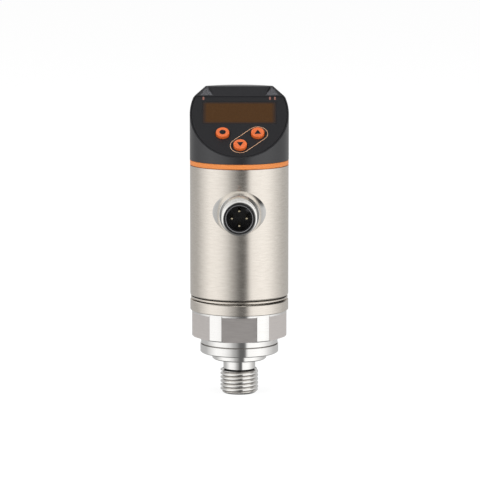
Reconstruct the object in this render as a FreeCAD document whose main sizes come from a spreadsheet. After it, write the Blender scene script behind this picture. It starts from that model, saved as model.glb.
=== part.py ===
import FreeCAD, Part
import math
import os
import re
import Sketcher
from FreeCAD import Placement, Rotation, Vector

# Pressure transmitter with a slanted display head, an M12 socket and a G1/4 stud.
# +Z runs up the sensor's axis, the origin lies on that axis in the sealing face
# under the collar, and the socket and the display look towards -Y. Millimetres.

doc = FreeCAD.newDocument("pressure_transmitter")
sheet = doc.addObject("Spreadsheet::Sheet", "Sizes")

SIZES = {
    # stud and collar of the process fitting
    "thread_radius": 6.5785,
    "stud_length": 12.0,
    "stud_chamfer": 0.95,
    "neck_radius": 5.55,
    "neck_length": 3.45,
    "thread_lead": 0.55,
    "collar_radius": 9.4,
    "collar_height": 2.4,
    "collar_edge": 0.35,
    "seal_outer_radius": 8.2,
    "seal_height": 1.2,
    "seal_gap": 0.05,
    "seal_lip": 0.35,
    # flange, hexagon and ring of the process fitting
    "flange_radius": 13.55,
    "flange_low": 2.8,
    "flange_high": 2.5,
    "flange_top_radius": 13.3,
    "flange_edge": 0.4,
    "line_depth": 0.35,
    "line_width": 0.25,
    "hexagon_step": 0.6,
    "flat_depth": 1.4,
    "hexagon_height": 8.2,
    "hexagon_edge": 0.5,
    "land_height": 1.2,
    "ring_height": 3.7,
    "ring_edge": 0.25,
    # hub that the housing turns on, and the chamber of the measuring cell
    "swivel_wall": 2.4,
    "hub_height": 12.2,
    "pressure_bore_radius": 2.5,
    "hub_wall": 2.3,
    "chamber_floor": 11.0,
    "cell_seal_inset": 2.1,
    "cell_seal_width": 1.8,
    "cell_seal_height": 1.4,
    "cell_gap": 0.1,
    "cell_height": 6.0,
    "cell_joint_height": 1.2,
    "cell_joint_width": 0.2,
    "cell_joint_depth": 0.3,
    "clamp_height": 4.0,
    "clamp_width": 3.5,
    "clamp_slot_width": 2.2,
    "clamp_slot_depth": 1.6,
    # swivel between the fitting and the housing
    "running_gap": 0.05,
    "swivel_gap": 0.4,
    "band_step": 0.2,
    "band_height": 0.8,
    "waist_step": 0.5,
    "waist_height": 0.6,
    "spigot_height": 7.4,
    "stop_lug_width": 2.1,
    "pin_radius": 0.7,
    "pin_offset": 1.4,
    "pin_rise": 2.1,
    "pin_depth": 2.0,
    "pin_room": 0.15,
    "stop_groove_depth": 2.0,
    "o_ring_width": 1.5,
    "o_ring_depth": 1.05,
    "o_ring_corner": 0.45,
    "hub_seal_height": 4.2,
    "snap_ring_height": 1.0,
    "snap_ring_depth": 0.85,
    "snap_ring_rise": 1.0,
    "snap_ring_gap": 5.0,
    # housing sleeve and the coloured ring on it
    "sleeve_radius": 17.0,
    "sleeve_wall": 1.5,
    "sleeve_height": 45.1,
    "sleeve_edge": 0.5,
    "fit_gap": 0.05,
    "colour_ring_height": 1.9,
    # M12 socket
    "socket_drop": 14.7,
    "socket_reach": 14.4,
    "socket_thread_radius": 6.0,
    "socket_thread_length": 7.4,
    "socket_chamfer": 0.5,
    "socket_neck_radius": 5.35,
    "socket_neck_length": 1.0,
    "socket_collar_radius": 6.85,
    "socket_collar_length": 1.6,
    "flare_radius": 9.3,
    "flare_curve": 9.5,
    "flare_sink": 2.9,
    "flare_rim_depth": 0.9,
    "socket_spigot_radius": 7.3,
    "socket_spigot_depth": 3.6,
    "socket_bore_radius": 4.95,
    "insert_flange_length": 0.9,
    "insert_flange_radius": 5.3,
    "insert_cavity_radius": 4.4,
    "insert_cavity_depth": 8.0,
    "insert_key_width": 1.2,
    "insert_key_height": 0.8,
    "insert_length": 16.4,
    "insert_seal_offset": 2.5,
    "insert_seal_width": 1.3,
    "insert_seal_depth": 0.85,
    "contact_radius": 0.5,
    "contact_circle": 2.5,
    "contact_recess": 0.6,
    # boards in the sleeve
    "carrier_skirt": 1.0,
    "carrier_skirt_height": 3.5,
    "carrier_plate": 2.5,
    "carrier_hole_radius": 5.0,
    "board_thickness": 1.6,
    "board_side": 6.0,
    "board_inset": 3.9,
    "board_drop": 7.2,
    "board_slot_depth": 1.5,
    "tongue_shoulder": 3.0,
    "tongue_length": 5.5,
    "ribbon_thickness": 0.3,
    "ribbon_width": 6.0,
    "ribbon_landing": 10.0,
    "lead_swing": 3.0,
    "lead_rise": 3.5,
    "lead_overlap": 2.5,
    "controller_size": 7.0,
    "controller_rise": 13.6,
    "driver_size": 5.0,
    "driver_rise": 8.0,
    "chip_thickness": 1.1,
    # display head
    "head_lip": 0.05,
    "head_height": 24.2,
    "head_edge": 0.5,
    "head_spigot_length": 6.6,
    "head_seal_drop": 3.4,
    "head_seal_depth": 0.8,
    "head_wall": 3.15,
    "face_tilt": 38.66,
    "face_lip": 2.16,
    "deck_thickness": 3.5,
    "corner_tilt": 29.0,
    "brow_distance": 8.85,
    "corner_margin": 0.2,
    "corner_slant": 2.8,
    "corner_length": 9.0,
    "corner_depth": 6.0,
    "corner_flat_depth": 0.55,
    "corner_flat_bearing": 35.7,
    "corner_flat_height": 8.0,
    # face panel, window and display under it
    "panel_recess": 0.7,
    "panel_thickness": 0.6,
    "panel_margin": 1.0,
    "panel_gap": 0.1,
    "window_half_width": 12.75,
    "window_low": 5.03,
    "window_high": 5.88,
    "window_depth": 1.3,
    "window_thickness": 1.15,
    "module_side": 1.75,
    "module_edge": 0.45,
    "module_gap": 0.15,
    "display_board_depth": 6.3,
    "display_board_side": 4.6,
    "display_board_toe": 5.5,
    "display_board_foot": 5.0,
    "display_board_corner": 3.9,
    "display_board_rim": 1.3,
    # buttons and switches
    "button_radius": 2.3,
    "button_gap": 0.1,
    "button_rise": 0.9,
    "button_edge": 0.35,
    "button_flange_radius": 3.0,
    "button_flange_height": 0.75,
    "button_travel": 0.5,
    "side_button_x": 6.0,
    "down_button_x": 0.3,
    "down_button_inset": 4.85,
    "button_pitch": 5.75,
    "switch_half_width": 2.25,
    "plunger_radius": 1.0,
    "plunger_height": 0.25,
    # status lamps
    "lamp_width": 4.3,
    "lamp_inset": 3.55,
    "lamp_front": 0.15,
    "lamp_back": 4.8,
    "lamp_slant": 1.9,
    "lamp_tip": 0.5,
    "lamp_thickness": 1.5,
    "lamp_gap": 0.05,
    "guide_radius": 0.8,
    "guide_offset": 1.2,
    "guide_length": 5.2,
    "lamp_chip_offset": 1.8,
    "lamp_chip_rise": 0.7,
    "lamp_chip_size": 1.2,
}

for row, (alias, size) in enumerate(SIZES.items(), 1):
    sheet.set("A%d" % row, alias)
    sheet.set("B%d" % row, str(size))
    sheet.setAlias("B%d" % row, alias)
doc.recompute()

# Levels and places that several pieces share, as sums of the sheet's sizes.
FLANGE_LINE = "(collar_height + flange_low)"
HEX_BASE = "(collar_height + flange_low + flange_high)"
HEX_TOP = "(%s + hexagon_height)" % HEX_BASE
SHOULDER = "(%s + land_height + ring_height)" % HEX_TOP
HUB_TOP = "(%s + hub_height)" % SHOULDER
BAND_BASE = "(%s + swivel_gap)" % SHOULDER
BAND_TOP = "(%s + band_height)" % BAND_BASE
SLEEVE_BASE = "(%s + waist_height)" % BAND_TOP
SPIGOT_TOP = "(%s + spigot_height)" % SLEEVE_BASE
SLEEVE_TOP = "(%s + sleeve_height)" % SLEEVE_BASE
HEAD_BASE = "(%s + colour_ring_height)" % SLEEVE_TOP
HEAD_TOP = "(%s + head_height)" % HEAD_BASE
FACE_LEVEL = "(%s + face_rise)" % HEAD_BASE
SLEEVE_BORE = "(sleeve_radius - sleeve_wall)"
PLUG_RADIUS = "(%s - fit_gap)" % SLEEVE_BORE
HUB_SEAL_BASE = "(%s + hub_seal_height)" % SHOULDER
SNAP_BASE = "(%s + running_gap)" % SPIGOT_TOP
CELL_BASE = "(chamber_floor + cell_seal_height)"
CELL_TOP = "(%s + cell_height)" % CELL_BASE
CELL_RADIUS = "(chamber_radius - cell_gap)"
CARRIER_TOP = "(%s + carrier_skirt_height + carrier_plate)" % SPIGOT_TOP
BOARD_BASE = "(%s - board_slot_depth)" % CARRIER_TOP
BOARD_BACK = "(board_front - board_thickness)"
FLANGE_BASE = "(deck_thickness + running_gap + button_flange_height)"
PLUNGER_TOP = "(%s + button_travel + running_gap)" % FLANGE_BASE
SHELL_FRONT = "(socket_front - insert_flange_length)"
THREAD_BACK = "(%s - socket_thread_length)" % SHELL_FRONT
COLLAR_FRONT = "(%s - socket_neck_length)" % THREAD_BACK
FLARE_TOP = "(%s - socket_collar_length)" % COLLAR_FRONT
CAVITY_FLOOR = "(socket_front - insert_cavity_depth)"
BROW_Y = "(brow_distance * cos(face_tilt))"
CORNER_LEVEL = "(%s + brow_distance * sin(face_tilt) - %s * tan(corner_tilt))" % (FACE_LEVEL, BROW_Y)
BROW_T = "(%s / cos(corner_tilt))" % BROW_Y

# Sizes that follow from the pieces they fit, written out wherever their names stand.
FITTED = {
    "hexagon_radius": "sleeve_radius - hexagon_step",
    "hexagon_flats": "2 * (hexagon_radius - flat_depth)",
    "hub_radius": PLUG_RADIUS + " - swivel_wall - running_gap",
    "chamber_radius": "hub_radius - hub_wall",
    "cell_seal_outer_radius": "chamber_radius - cell_seal_inset",
    "cell_seal_inner_radius": "cell_seal_outer_radius - cell_seal_width",
    "clamp_bore_radius": "chamber_radius - clamp_width",
    "band_radius": "sleeve_radius - band_step",
    "waist_radius": "band_radius - waist_step",
    "pin_circle": "hub_radius + pin_offset",
    "socket_height": SLEEVE_TOP + " - socket_drop",
    "socket_front": "sleeve_radius + socket_reach",
    "flare_end": "sleeve_radius - flare_sink",
    "flare_rim": "flare_end - flare_rim_depth",
    "socket_spigot_end": "sleeve_radius - socket_spigot_depth",
    "insert_back": "socket_front - insert_length",
    "insert_seal_back": "insert_back + insert_seal_offset",
    "board_half_width": SLEEVE_BORE + " - board_side",
    "board_front": SLEEVE_BORE + " - board_inset",
    "board_length": "%s - %s - board_drop" % (SLEEVE_TOP, BOARD_BASE),
    "tongue_half_width": "board_half_width - tongue_shoulder",
    "head_radius": "sleeve_radius + head_lip",
    "head_cavity_radius": "head_radius - head_wall",
    "face_rise": "head_radius * tan(face_tilt) + face_lip",
    "lamp_outer": "head_radius - lamp_inset",
    "lamp_inner": "lamp_outer - lamp_width",
    "corner_inner": "lamp_inner - corner_margin",
    "guide_x": "lamp_inner + guide_offset",
    "module_half_width": "window_half_width - module_side",
    "module_low": "window_low - module_edge",
    "module_high": "window_high - module_edge",
    "lamp_chip_x": "guide_x - lamp_chip_offset",
    "lamp_chip_s": "module_high + lamp_chip_rise",
    "display_board_half_width": "head_cavity_radius - display_board_side",
    "display_board_low": "head_cavity_radius + display_board_toe",
    "display_board_shoulder": "display_board_low - display_board_corner",
    "display_board_high": "module_high + display_board_rim",
    "down_button_s": "(head_radius - down_button_inset) / cos(face_tilt)",
    "side_button_s": "down_button_s - button_pitch",
}
BUTTONS = {
    "mode_button": ("down_button_x - side_button_x", "-side_button_s"),
    "up_button": ("down_button_x + side_button_x", "-side_button_s"),
    "down_button": ("down_button_x", "-down_button_s"),
}


def named(text):
    """The expression in terms of the sheet's cells, with the fitted sizes written out."""
    def spell(match):
        word = match.group(0)
        return "(%s)" % named(FITTED[word]) if word in FITTED else "Sizes." + word

    return re.sub(r"\b[a-z]+(_[a-z]+)+\b", spell, text)


def value(text):
    """The present value of an expression of the sheet's sizes."""
    return float(sheet.evalExpression(named(text)))


def bind(thing, prop, text):
    """Tie a property to the sheet."""
    thing.setExpression(prop, named(text))


def new_body(label, level=None, tilt=None):
    """An empty body, whose own frame may be lifted along Z and tilted about X."""
    body = doc.addObject("PartDesign::Body", label)
    place(body, level, tilt)
    return body


def place(thing, level=None, tilt=None):
    """Lift a piece along Z and tilt it about X."""
    thing.Placement = Placement(Vector(), Rotation(Vector(1, 0, 0), 1 if tilt else 0))
    if level:
        bind(thing, "Placement.Base.z", level)
    if tilt:
        bind(thing, "Placement.Rotation.Angle", "1 deg * " + tilt)


def new_sketch(body, name, role="XZ_Plane", lift=None, tilt=None):
    """A sketch on one of the body's origin planes, lifted or tilted from it."""
    sketch = body.newObject("Sketcher::SketchObject", "%s_%s" % (body.Name, name))
    origin_plane = next(plane for plane in body.Origin.OriginFeatures if plane.Role == role)
    sketch.AttachmentSupport = [(origin_plane, "")]
    sketch.MapMode = "FlatFace"
    sketch.AttachmentOffset = Placement(Vector(), Rotation(Vector(1, 0, 0), 1 if tilt else 0))
    if lift:
        bind(sketch, "AttachmentOffset.Base.z", lift)
    if tilt:
        bind(sketch, "AttachmentOffset.Rotation.Angle", "1 deg * " + tilt)
    return sketch


def pin_point(sketch, geometry, end, x, y):
    """Hold a point of a sketch at two expressions."""
    for kind, text in (("DistanceX", x), ("DistanceY", y)):
        index = sketch.addConstraint(
            Sketcher.Constraint(kind, -1, 1, geometry, end, value(text)))
        bind(sketch, "Constraints[%d]" % index, text)


def outline(sketch, corners, closed=True):
    """Straight edges and arcs through corners of (x, y) or (x, y, arc radius).

    The radius belongs to the edge that starts at its corner: positive turns left.
    """
    first = sketch.GeometryCount
    points = [Vector(value(corner[0]), value(corner[1]), 0) for corner in corners]
    starts = []
    edges = list(zip(corners, points, points[1:] + points[:1]))
    if not closed:
        edges.pop()
    for corner, start, end in edges:
        if len(corner) == 2:
            sketch.addGeometry(Part.LineSegment(start, end))
            starts.append((1, 2))
            continue
        radius = value(corner[2])
        middle, chord = (start + end) / 2, end - start
        side = Vector(-chord.y, chord.x, 0).normalize()
        rise = math.sqrt(radius ** 2 - (chord.Length / 2) ** 2)
        centre = middle + side * math.copysign(rise, radius)
        turn = [math.atan2(point.y - centre.y, point.x - centre.x) for point in (start, end)]
        if radius < 0:
            turn.reverse()
        circle = Part.Circle(centre, Vector(0, 0, 1), abs(radius))
        index = sketch.addGeometry(Part.ArcOfCircle(circle, *turn))
        starts.append((1, 2) if radius > 0 else (2, 1))
        limit = sketch.addConstraint(Sketcher.Constraint("Radius", index, abs(radius)))
        bind(sketch, "Constraints[%d]" % limit, corner[2].lstrip("-"))
    for place_in_loop, (corner, ends) in enumerate(zip(corners, starts)):
        pin_point(sketch, first + place_in_loop, ends[0], corner[0], corner[1])
        if place_in_loop or closed:
            before = (place_in_loop - 1) % len(starts)
            sketch.addConstraint(Sketcher.Constraint(
                "Coincident", first + before, starts[before][1],
                first + place_in_loop, ends[0]))
    if not closed:
        pin_point(sketch, first + len(starts) - 1, starts[-1][1], *corners[-1])
    return sketch


def circle(sketch, radius, x="0", y="0"):
    """A circle in a sketch."""
    index = sketch.addGeometry(
        Part.Circle(Vector(value(x), value(y), 0), Vector(0, 0, 1), value(radius)))
    pin_point(sketch, index, 3, x, y)
    limit = sketch.addConstraint(Sketcher.Constraint("Radius", index, value(radius)))
    bind(sketch, "Constraints[%d]" % limit, radius)
    return sketch


def rectangle(sketch, left, low, right, high):
    """A rectangle in a sketch."""
    return outline(sketch, [(left, low), (right, low), (right, high), (left, high)])


def ellipse(sketch, half_width, half_length):
    """An ellipse about the sketch's origin, with its long axis along Y."""
    wide, long = value(half_width), value(half_length)
    index = sketch.addGeometry(
        Part.Ellipse(Vector(0, long, 0), Vector(-wide, 0, 0), Vector(0, 0, 0)))
    sketch.addConstraint(Sketcher.Constraint("Coincident", index, 3, -1, 1))
    sketch.exposeInternalGeometry(index)
    sketch.addConstraint(Sketcher.Constraint("Vertical", index + 1))
    for axis, text in ((index + 1, half_length), (index + 2, half_width)):
        limit = sketch.addConstraint(Sketcher.Constraint("Distance", axis, 2 * value(text)))
        bind(sketch, "Constraints[%d]" % limit, "2 * " + text)
    return sketch


def feature(body, kind, name, sketch, **settings):
    """A PartDesign feature made from a sketch."""
    made = body.newObject("PartDesign::" + kind, "%s_%s" % (body.Name, name))
    made.Profile = sketch
    for prop, setting in settings.items():
        setattr(made, prop, setting)
    sketch.Visibility = False
    return made


def turn(body, name, corners, cut=False):
    """Turn a profile of (radius, height) corners about the body's Z axis."""
    sketch = outline(new_sketch(body, name + "_profile"), corners)
    return feature(body, "Groove" if cut else "Revolution", name, sketch,
                   ReferenceAxis=(sketch, ["V_Axis"]), Angle=360)


def pad(body, name, sketch, length, **settings):
    """Pad a sketch along its normal."""
    made = feature(body, "Pad", name, sketch, **settings)
    bind(made, "Length", length)
    return made


def pocket(body, name, sketch, length=None, **settings):
    """Cut a sketch into the body, against its normal, for a length or right through."""
    if length is None:
        settings["Type"] = 1
    made = feature(body, "Pocket", name, sketch, **settings)
    if length is not None:
        bind(made, "Length", length)
    return made


def ring_section(inner, outer, low, high, corner):
    """The squeezed section of an O-ring: a rectangle with round corners."""
    return [
        (inner, "%s + %s" % (low, corner)),
        (inner, "%s - %s" % (high, corner), "-" + corner),
        ("%s + %s" % (inner, corner), high),
        ("%s - %s" % (outer, corner), high, "-" + corner),
        (outer, "%s - %s" % (high, corner)),
        (outer, "%s + %s" % (low, corner), "-" + corner),
        ("%s - %s" % (outer, corner), low),
        ("%s + %s" % (inner, corner), low, "-" + corner),
    ]


def process_fitting():
    """Stud, collar, flange, hexagon, ring and hub, turned from one stainless bar."""
    body = new_body("process_fitting")
    turn(body, "bar", [
        ("pressure_bore_radius", "-stud_length"),
        ("thread_radius - stud_chamfer", "-stud_length"),
        ("thread_radius", "stud_chamfer - stud_length"),
        ("thread_radius", "-neck_length - thread_lead"),
        ("neck_radius", "-neck_length"),
        ("neck_radius", "seal_height"),
        ("seal_outer_radius", "seal_height"),
        ("seal_outer_radius", "0"),
        ("collar_radius - collar_edge", "0"),
        ("collar_radius", "collar_edge"),
        ("collar_radius", "collar_height"),
        ("flange_radius", "collar_height"),
        ("flange_radius", FLANGE_LINE + " - line_width"),
        ("flange_radius - line_depth", FLANGE_LINE),
        ("flange_top_radius", FLANGE_LINE + " + line_width"),
        ("flange_top_radius", HEX_BASE + " - flange_edge"),
        ("flange_top_radius - flange_edge", HEX_BASE),
        ("hexagon_radius - hexagon_edge", HEX_BASE),
        ("hexagon_radius", HEX_BASE + " + hexagon_edge"),
        ("hexagon_radius", HEX_TOP + " + land_height"),
        ("sleeve_radius - ring_edge", HEX_TOP + " + land_height"),
        ("sleeve_radius", HEX_TOP + " + land_height + ring_edge"),
        ("sleeve_radius", SHOULDER + " - ring_edge"),
        ("sleeve_radius - ring_edge", SHOULDER),
        ("hub_radius", SHOULDER),
        ("hub_radius", HUB_TOP + " - ring_edge"),
        ("hub_radius - ring_edge", HUB_TOP),
        ("chamber_radius", HUB_TOP),
        ("chamber_radius", "chamber_floor"),
        ("pressure_bore_radius", "chamber_floor"),
    ])
    flats = new_sketch(body, "flats", "XY_Plane", HEX_BASE)
    corner = "hexagon_flats / sqrt(3) * %s(%d)"
    outline(flats, [(corner % ("cos", turned), corner % ("sin", turned))
                    for turned in range(0, 360, 60)])
    circle(flats, "hexagon_flats")
    pocket(body, "hexagon", flats, "hexagon_height", Reversed=True)
    groove_low, groove_high = HUB_SEAL_BASE, HUB_SEAL_BASE + " + o_ring_width"
    turn(body, "seal_groove", [
        ("hub_radius - o_ring_depth", groove_low), ("sleeve_radius", groove_low),
        ("sleeve_radius", groove_high), ("hub_radius - o_ring_depth", groove_high)], cut=True)
    low, high = SNAP_BASE, SNAP_BASE + " + snap_ring_height"
    turn(body, "snap_groove", [
        ("hub_radius - snap_ring_depth", low), ("sleeve_radius", low),
        ("sleeve_radius", high), ("hub_radius - snap_ring_depth", high)], cut=True)
    hole = circle(new_sketch(body, "pin_hole_profile", "XY_Plane", SHOULDER),
                  "pin_radius + fit_gap", "0", "-pin_circle")
    pocket(body, "pin_hole", hole, "pin_depth")
    return body


def thread_seal_ring():
    """Profile seal pressed into the groove under the collar."""
    body = new_body("thread_seal_ring")
    inner, outer = "neck_radius + seal_gap", "seal_outer_radius - seal_gap"
    turn(body, "ring", [
        (inner, "seal_lip"), (inner + " + seal_lip", "0"), (outer, "0"),
        (outer, "seal_height"), (inner, "seal_height")])
    return body


def cell_seal():
    """Squeezed O-ring between the chamber's floor and the measuring cell."""
    body = new_body("cell_seal")
    turn(body, "ring", ring_section("cell_seal_inner_radius", "cell_seal_outer_radius",
                                    "chamber_floor", CELL_BASE, "o_ring_corner"))
    return body


def measuring_cell():
    """Ceramic cell: a thin diaphragm joined to a thick disc by a glass seam."""
    body = new_body("measuring_cell")
    seam = "(%s + cell_joint_height)" % CELL_BASE
    waist = CELL_RADIUS + " - cell_joint_depth"
    turn(body, "discs", [
        ("0", CELL_BASE), (CELL_RADIUS, CELL_BASE), (CELL_RADIUS, seam), (waist, seam),
        (waist, seam + " + cell_joint_width"), (CELL_RADIUS, seam + " + cell_joint_width"),
        (CELL_RADIUS, CELL_TOP), ("0", CELL_TOP)])
    return body


def cell_clamp_ring():
    """Slotted ring screwed down on the cell."""
    body = new_body("cell_clamp_ring")
    top = CELL_TOP + " + clamp_height"
    turn(body, "ring", [
        ("clamp_bore_radius", CELL_TOP), (CELL_RADIUS, CELL_TOP),
        (CELL_RADIUS, top), ("clamp_bore_radius", top)])
    slot = rectangle(new_sketch(body, "slot_profile", "XY_Plane", top),
                     "0", "-clamp_slot_width / 2", "chamber_radius", "clamp_slot_width / 2")
    cut = pocket(body, "slot", slot, "clamp_slot_depth")
    doc.recompute()
    pattern = body.newObject("PartDesign::PolarPattern", "cell_clamp_ring_slots")
    pattern.Originals = [cut]
    pattern.Axis = (slot, ["N_Axis"])
    pattern.Angle = 360
    pattern.Occurrences = 4
    body.Tip = pattern
    return body


def swivel_ring():
    """Ring in the sleeve's foot that turns on the hub, with the stop's groove."""
    body = new_body("swivel_ring")
    bore = "hub_radius + running_gap"
    turn(body, "ring", [
        (bore, BAND_BASE), ("band_radius", BAND_BASE), ("band_radius", BAND_TOP),
        ("waist_radius", BAND_TOP), ("waist_radius", SLEEVE_BASE),
        (PLUG_RADIUS, SLEEVE_BASE), (PLUG_RADIUS, SPIGOT_TOP), (bore, SPIGOT_TOP)])
    half_width = "(pin_radius + pin_room)"
    groove = rectangle(
        new_sketch(body, "stop_profile", "YZ_Plane"),
        "-pin_circle - " + half_width, BAND_BASE,
        half_width + " - pin_circle", BAND_BASE + " + stop_groove_depth")
    cut = feature(body, "Groove", "stop_groove", groove,
                  ReferenceAxis=(groove, ["V_Axis"]), Midplane=True)
    bind(cut, "Angle", "360 deg - 2 * asin(stop_lug_width / 2 / pin_circle)")
    return body


def stop_pin():
    """Dowel in the fitting's shoulder that meets the lug at each end of the turn."""
    pin = doc.addObject("Part::Cylinder", "stop_pin")
    bind(pin, "Radius", "pin_radius")
    bind(pin, "Height", "pin_depth + pin_rise")
    bind(pin, "Placement.Base.y", "-pin_circle")
    bind(pin, "Placement.Base.z", SHOULDER + " - pin_depth")
    return pin


def swivel_seal():
    """O-ring in the hub's groove."""
    body = new_body("swivel_seal")
    turn(body, "ring", ring_section(
        "(hub_radius - o_ring_depth)", "hub_radius", HUB_SEAL_BASE,
        "(%s + o_ring_width)" % HUB_SEAL_BASE, "o_ring_corner"))
    return body


def snap_ring():
    """Open ring that holds the swivel ring down on the hub."""
    body = new_body("snap_ring")
    inner, outer = "hub_radius - snap_ring_depth", "hub_radius + snap_ring_rise"
    top = SNAP_BASE + " + snap_ring_height"
    turn(body, "ring", [(inner, SNAP_BASE), (outer, SNAP_BASE), (outer, top), (inner, top)])
    gap = rectangle(new_sketch(body, "gap_profile", "XY_Plane", top),
                    "-snap_ring_gap / 2", "0", "snap_ring_gap / 2", "sleeve_radius")
    pocket(body, "gap", gap)
    return body


def housing_sleeve():
    """Stainless tube of the housing, with the hole for the socket."""
    body = new_body("housing_sleeve")
    turn(body, "tube", [
        (SLEEVE_BORE, SLEEVE_BASE), ("sleeve_radius - sleeve_edge", SLEEVE_BASE, "sleeve_edge"),
        ("sleeve_radius", SLEEVE_BASE + " + sleeve_edge"), ("sleeve_radius", SLEEVE_TOP),
        (SLEEVE_BORE, SLEEVE_TOP)])
    hole = circle(new_sketch(body, "socket_hole_profile"),
                  "socket_spigot_radius + fit_gap", "0", "socket_height")
    pocket(body, "socket_hole", hole, Reversed=True)
    return body


def colour_ring():
    """Coloured ring clamped between the sleeve and the head."""
    body = new_body("colour_ring")
    turn(body, "ring", [
        (SLEEVE_BORE, SLEEVE_TOP), ("sleeve_radius", SLEEVE_TOP),
        ("sleeve_radius", HEAD_BASE), (SLEEVE_BORE, HEAD_BASE)])
    return body


def socket_body(label):
    """A body whose own +Z axis is the socket's, pointing out of the sleeve."""
    body = doc.addObject("PartDesign::Body", label)
    body.Placement = Placement(Vector(), Rotation(Vector(1, 0, 0), 90))
    bind(body, "Placement.Base.z", "socket_height")
    return body


def connector_shell():
    """Flared stainless shell of the M12 socket, welded to the sleeve."""
    body = socket_body("connector_shell")
    turn(body, "shell", [
        ("0", "flare_rim"), ("flare_radius", "flare_rim"),
        ("flare_radius", "flare_end", "-flare_curve"),
        ("socket_collar_radius", FLARE_TOP), ("socket_collar_radius", COLLAR_FRONT),
        ("socket_neck_radius", COLLAR_FRONT), ("socket_neck_radius", THREAD_BACK),
        ("socket_thread_radius", THREAD_BACK),
        ("socket_thread_radius", SHELL_FRONT + " - socket_chamfer"),
        ("socket_thread_radius - socket_chamfer", SHELL_FRONT), ("0", SHELL_FRONT)])
    saddle = circle(new_sketch(body, "saddle_profile"), "sleeve_radius")
    pocket(body, "saddle", saddle, Midplane=True)
    spigot = circle(new_sketch(body, "spigot_profile", "XY_Plane", "socket_spigot_end"),
                    "socket_spigot_radius")
    pad(body, "spigot", spigot, "sleeve_radius - socket_spigot_end")
    bore = circle(new_sketch(body, "bore_profile", "XY_Plane"), "socket_bore_radius")
    pocket(body, "bore", bore, Reversed=True)
    return body


def connector_insert():
    """Black contact carrier of the socket, with its cavity, key and contact holes."""
    body = socket_body("connector_insert")
    outer = "(socket_bore_radius - fit_gap)"
    groove_front = "insert_seal_back + insert_seal_width"
    turn(body, "carrier", [
        ("0", "insert_back"), (outer, "insert_back"), (outer, "insert_seal_back"),
        (outer + " - insert_seal_depth", "insert_seal_back"),
        (outer + " - insert_seal_depth", groove_front), (outer, groove_front),
        (outer, SHELL_FRONT), ("insert_flange_radius", SHELL_FRONT),
        ("insert_flange_radius", "socket_front"), ("insert_cavity_radius", "socket_front"),
        ("insert_cavity_radius", CAVITY_FLOOR), ("0", CAVITY_FLOOR)])
    key = new_sketch(body, "key_profile", "XY_Plane", CAVITY_FLOOR)
    reach = "(insert_cavity_radius - insert_key_height)"
    ends = [(reach, "-"), ("(insert_cavity_radius + fit_gap)", "-"),
            ("(insert_cavity_radius + fit_gap)", "+"), (reach, "+")]
    outline(key, [("%s * cos(45) %s insert_key_width / 2 * sin(45)" % (out, "+-"[side == "+"]),
                   "%s * sin(45) %s insert_key_width / 2 * cos(45)" % (out, side))
                  for out, side in ends])
    pad(body, "key", key, "insert_cavity_depth - insert_flange_length")
    holes = new_sketch(body, "contact_holes_profile", "XY_Plane")
    for x, y in contact_places():
        circle(holes, "contact_radius + fit_gap", x, y)
    pocket(body, "contact_holes", holes, Reversed=True)
    return body


def contact_places():
    """Centres of the four contacts, above, beside and below the socket's axis."""
    return [("0", "contact_circle"), ("-contact_circle", "0"),
            ("0", "-contact_circle"), ("contact_circle", "0")]


def insert_seal():
    """O-ring between the contact carrier and the shell."""
    body = socket_body("insert_seal")
    outer = "(socket_bore_radius - fit_gap)"
    turn(body, "ring", ring_section(
        "(%s - insert_seal_depth)" % outer, outer, "insert_seal_back",
        "(insert_seal_back + insert_seal_width)", "(insert_seal_depth / 3)"))
    return body


def group(label, members, level=None, tilt=None):
    """Several separate solids in one node."""
    node = doc.addObject("Part::Compound", label)
    node.Links = members
    place(node, level, tilt)
    return node


def block(name, sizes, corner):
    """A box with its lowest corner at three expressions."""
    box = doc.addObject("Part::Box", name)
    for prop, text in zip(("Length", "Width", "Height"), sizes):
        bind(box, prop, text)
    for axis, text in zip("xyz", corner):
        bind(box, "Placement.Base." + axis, text)
    return box


def contact_pins():
    """Four round-nosed contacts that run from the main board into the cavity."""
    pins = []
    for number, (x, y) in enumerate(contact_places(), 1):
        pin = doc.addObject("Part::Cylinder", "contact_%d" % number)
        bind(pin, "Radius", "contact_radius")
        bind(pin, "Height", "socket_front - contact_recess - board_front")
        for axis, text in (("x", x), ("y", y), ("z", "board_front")):
            bind(pin, "Placement.Base." + axis, text)
        pins.append(pin)
    node = group("contact_pins", pins)
    node.Placement = Placement(Vector(), Rotation(Vector(1, 0, 0), 90))
    bind(node, "Placement.Base.z", "socket_height")
    return node


def board_carrier():
    """Moulded holder that stands on the swivel ring and takes the main board's foot."""
    body = new_body("board_carrier")
    inner, skirt_top = PLUG_RADIUS + " - carrier_skirt", SPIGOT_TOP + " + carrier_skirt_height"
    turn(body, "holder", [
        (inner, SPIGOT_TOP), (PLUG_RADIUS, SPIGOT_TOP), (PLUG_RADIUS, CARRIER_TOP),
        ("carrier_hole_radius", CARRIER_TOP), ("carrier_hole_radius", skirt_top),
        (inner, skirt_top)])
    slot = rectangle(new_sketch(body, "slot_profile", "XY_Plane", CARRIER_TOP),
                     "-board_half_width - fit_gap", "-board_front - fit_gap",
                     "board_half_width + fit_gap", "fit_gap - " + BOARD_BACK)
    pocket(body, "slot", slot, "board_slot_depth")
    return body


def main_board():
    """Upright circuit board behind the socket."""
    body = new_body("main_board")
    shoulder, top = BOARD_BASE + " + board_length", BOARD_BASE + " + board_length + tongue_length"
    edge = outline(new_sketch(body, "edge", "XZ_Plane", BOARD_BACK), [
        ("-board_half_width", BOARD_BASE), ("board_half_width", BOARD_BASE),
        ("board_half_width", shoulder), ("tongue_half_width", shoulder),
        ("tongue_half_width", top), ("-tongue_half_width", top),
        ("-tongue_half_width", shoulder), ("-board_half_width", shoulder)])
    pad(body, "sheet", edge, "board_thickness")
    return body


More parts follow.
